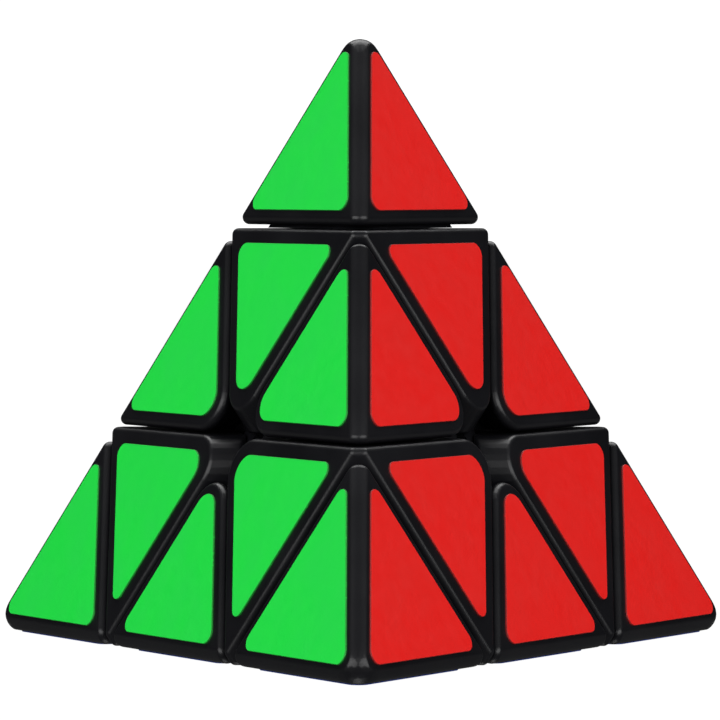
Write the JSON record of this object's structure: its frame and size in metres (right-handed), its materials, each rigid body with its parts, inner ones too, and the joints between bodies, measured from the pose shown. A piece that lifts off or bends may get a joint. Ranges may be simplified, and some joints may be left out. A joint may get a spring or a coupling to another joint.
{
  "type": "pyramid twisty puzzle",
  "caption": "Tetrahedral twisty puzzle: layers turn about the axes through its corners, tips turn alone, and coloured triangular stickers cover the black pieces on every face.",
  "frame": {"origin": "centre of the core, where the four turning axes meet", "axes": "+Z through the top tip, -Y towards the upright front edge, +X to the right; the base face is level, 20.2 mm below the origin"},
  "size_m": [0.093, 0.081, 0.0763],
  "materials": {
    "black_plastic": "moulded ABS, satin black",
    "core_plastic": "moulded nylon, black",
    "steel": "zinc plated steel",
    "spring_steel": "spring steel wire",
    "sticker_green": "vinyl sticker, smooth",
    "sticker_red": "vinyl sticker, smooth",
    "sticker_blue": "vinyl sticker, smooth",
    "sticker_yellow": "vinyl sticker, smooth"
  },
  "bodies": {
    "core": {"core": "core_plastic", "core_screws": "steel", "axis_springs": "spring_steel", "spring_washers": "steel"},
    "centre_top": {"centre_top": "black_plastic", "sticker_green_centre_top": "sticker_green", "sticker_red_centre_top": "sticker_red", "sticker_yellow_centre_top": "sticker_yellow"},
    "centre_front": {"centre_front": "black_plastic", "sticker_blue_centre_front": "sticker_blue", "sticker_green_centre_front": "sticker_green", "sticker_red_centre_front": "sticker_red"},
    "centre_left": {"centre_left": "black_plastic", "sticker_blue_centre_left": "sticker_blue", "sticker_green_centre_left": "sticker_green", "sticker_yellow_centre_left": "sticker_yellow"},
    "centre_right": {"centre_right": "black_plastic", "sticker_blue_centre_right": "sticker_blue", "sticker_red_centre_right": "sticker_red", "sticker_yellow_centre_right": "sticker_yellow"},
    "tip_top": {"tip_cap_top": "black_plastic", "tip_base_top": "black_plastic", "sticker_green_tip_top": "sticker_green", "sticker_red_tip_top": "sticker_red", "sticker_yellow_tip_top": "sticker_yellow"},
    "tip_front": {"tip_cap_front": "black_plastic", "tip_base_front": "black_plastic", "sticker_blue_tip_front": "sticker_blue", "sticker_green_tip_front": "sticker_green", "sticker_red_tip_front": "sticker_red"},
    "tip_left": {"tip_cap_left": "black_plastic", "tip_base_left": "black_plastic", "sticker_blue_tip_left": "sticker_blue", "sticker_green_tip_left": "sticker_green", "sticker_yellow_tip_left": "sticker_yellow"},
    "tip_right": {"tip_cap_right": "black_plastic", "tip_base_right": "black_plastic", "sticker_blue_tip_right": "sticker_blue", "sticker_red_tip_right": "sticker_red", "sticker_yellow_tip_right": "sticker_yellow"},
    "edge_top_front": {"edge_top_front": "black_plastic", "sticker_green_edge_top_front": "sticker_green", "sticker_red_edge_top_front": "sticker_red"},
    "edge_top_left": {"edge_top_left": "black_plastic", "sticker_green_edge_top_left": "sticker_green", "sticker_yellow_edge_top_left": "sticker_yellow"},
    "edge_top_right": {"edge_top_right": "black_plastic", "sticker_red_edge_top_right": "sticker_red", "sticker_yellow_edge_top_right": "sticker_yellow"},
    "edge_front_left": {"edge_front_left": "black_plastic", "sticker_blue_edge_front_left": "sticker_blue", "sticker_green_edge_front_left": "sticker_green"},
    "edge_front_right": {"edge_front_right": "black_plastic", "sticker_blue_edge_front_right": "sticker_blue", "sticker_red_edge_front_right": "sticker_red"},
    "edge_left_right": {"edge_left_right": "black_plastic", "sticker_blue_edge_left_right": "sticker_blue", "sticker_yellow_edge_left_right": "sticker_yellow"}
  },
  "joints": [
    {"name": "layer_top", "type": "hinge", "parent": "core", "child": "centre_top", "pos_m": [0, 0, 0], "axis": [0, 0, 1], "range_deg": [-240, 120]},
    {"name": "layer_front", "type": "hinge", "parent": "core", "child": "centre_front", "pos_m": [0, 0, 0], "axis": [0, -0.9428, -0.3333], "range_deg": [-240, 120]},
    {"name": "layer_left", "type": "hinge", "parent": "core", "child": "centre_left", "pos_m": [0, 0, 0], "axis": [-0.8165, 0.4714, -0.3333], "range_deg": [-240, 120]},
    {"name": "layer_right", "type": "hinge", "parent": "core", "child": "centre_right", "pos_m": [0, 0, 0], "axis": [0.8165, 0.4714, -0.3333], "range_deg": [-240, 120]},
    {"name": "tip_top_turn", "type": "hinge", "parent": "centre_top", "child": "tip_top", "pos_m": [0, 0, 0], "axis": [0, 0, 1], "continuous": true},
    {"name": "tip_front_turn", "type": "hinge", "parent": "centre_front", "child": "tip_front", "pos_m": [0, 0, 0], "axis": [0, -0.9428, -0.3333], "continuous": true},
    {"name": "tip_left_turn", "type": "hinge", "parent": "centre_left", "child": "tip_left", "pos_m": [0, 0, 0], "axis": [-0.8165, 0.4714, -0.3333], "continuous": true},
    {"name": "tip_right_turn", "type": "hinge", "parent": "centre_right", "child": "tip_right", "pos_m": [0, 0, 0], "axis": [0.8165, 0.4714, -0.3333], "continuous": true},
    {"name": "edge_top_front_with_front", "type": "hinge", "parent": "centre_top", "child": "edge_top_front", "pos_m": [0, 0, 0], "axis": [0, -0.9428, -0.3333], "range_deg": [-240, 120]},
    {"name": "edge_top_left_with_left", "type": "hinge", "parent": "centre_top", "child": "edge_top_left", "pos_m": [0, 0, 0], "axis": [-0.8165, 0.4714, -0.3333], "range_deg": [-240, 120]},
    {"name": "edge_top_right_with_right", "type": "hinge", "parent": "centre_top", "child": "edge_top_right", "pos_m": [0, 0, 0], "axis": [0.8165, 0.4714, -0.3333], "range_deg": [-240, 120]},
    {"name": "edge_front_left_with_front", "type": "hinge", "parent": "centre_left", "child": "edge_front_left", "pos_m": [0, 0, 0], "axis": [0, -0.9428, -0.3333], "range_deg": [-240, 120]},
    {"name": "edge_front_right_with_right", "type": "hinge", "parent": "centre_front", "child": "edge_front_right", "pos_m": [0, 0, 0], "axis": [0.8165, 0.4714, -0.3333], "range_deg": [-240, 120]},
    {"name": "edge_left_right_with_left", "type": "hinge", "parent": "centre_right", "child": "edge_left_right", "pos_m": [0, 0, 0], "axis": [-0.8165, 0.4714, -0.3333], "range_deg": [-240, 120]}
  ],
  "couplings": [
    {"joint": "edge_top_front_with_front", "follows": "layer_front", "ratio": 1},
    {"joint": "edge_top_left_with_left", "follows": "layer_left", "ratio": 1},
    {"joint": "edge_top_right_with_right", "follows": "layer_right", "ratio": 1},
    {"joint": "edge_front_left_with_front", "follows": "layer_front", "ratio": 1},
    {"joint": "edge_front_right_with_right", "follows": "layer_right", "ratio": 1},
    {"joint": "edge_left_right_with_left", "follows": "layer_left", "ratio": 1}
  ]
}
